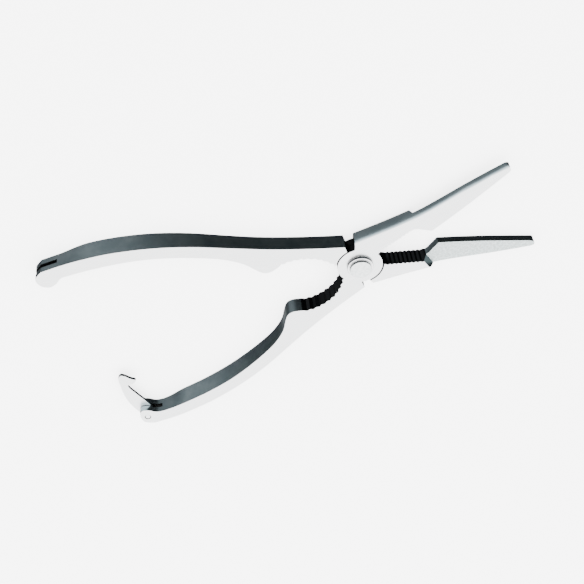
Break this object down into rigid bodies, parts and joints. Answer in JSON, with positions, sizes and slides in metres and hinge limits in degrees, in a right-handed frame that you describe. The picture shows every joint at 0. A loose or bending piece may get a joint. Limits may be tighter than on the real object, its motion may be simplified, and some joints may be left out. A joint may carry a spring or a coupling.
{
  "type": "fishing pliers",
  "caption": "Flat steel fishing pliers with shear-like pointed jaws, serrated grips and a swinging lock hook on the handle end.",
  "frame": {"origin": "The pivot axis at the back plane, where the rivet's flush tail rests.", "axes": "+X points to the jaw tips, +Y to the upper jaw's side, +Z out of the front face."},
  "size_m": [0.197, 0.1102, 0.0104],
  "materials": {
    "lever_steel": "fine satin brushed faces, darker satin edges",
    "rivet_steel": "satin, slightly domed",
    "washer_steel": "matt bright",
    "spring_steel": "plain wire",
    "hook_steel": "stamped sheet, satin"
  },
  "bodies": {
    "front_side": {"front_lever": "lever_steel", "pivot_rivet": "rivet_steel", "front_washer": "washer_steel", "joint_spring": "spring_steel", "hook_pin": "rivet_steel"},
    "rear_side": {"rear_lever": "lever_steel"},
    "hook": {"lock_hook": "hook_steel"}
  },
  "joints": [
    {"name": "lever_pivot", "type": "hinge", "parent": "front_side", "child": "rear_side", "pos_m": [0, 0, 0], "axis": [0, 0, 1], "range_deg": [-14, 40], "deforming": ["joint_spring"]},
    {"name": "hook_swing", "type": "hinge", "parent": "front_side", "child": "hook", "pos_m": [-0.12178, -0.04901, 0], "axis": [0, 0, 1], "range_deg": [0, 75]}
  ]
}
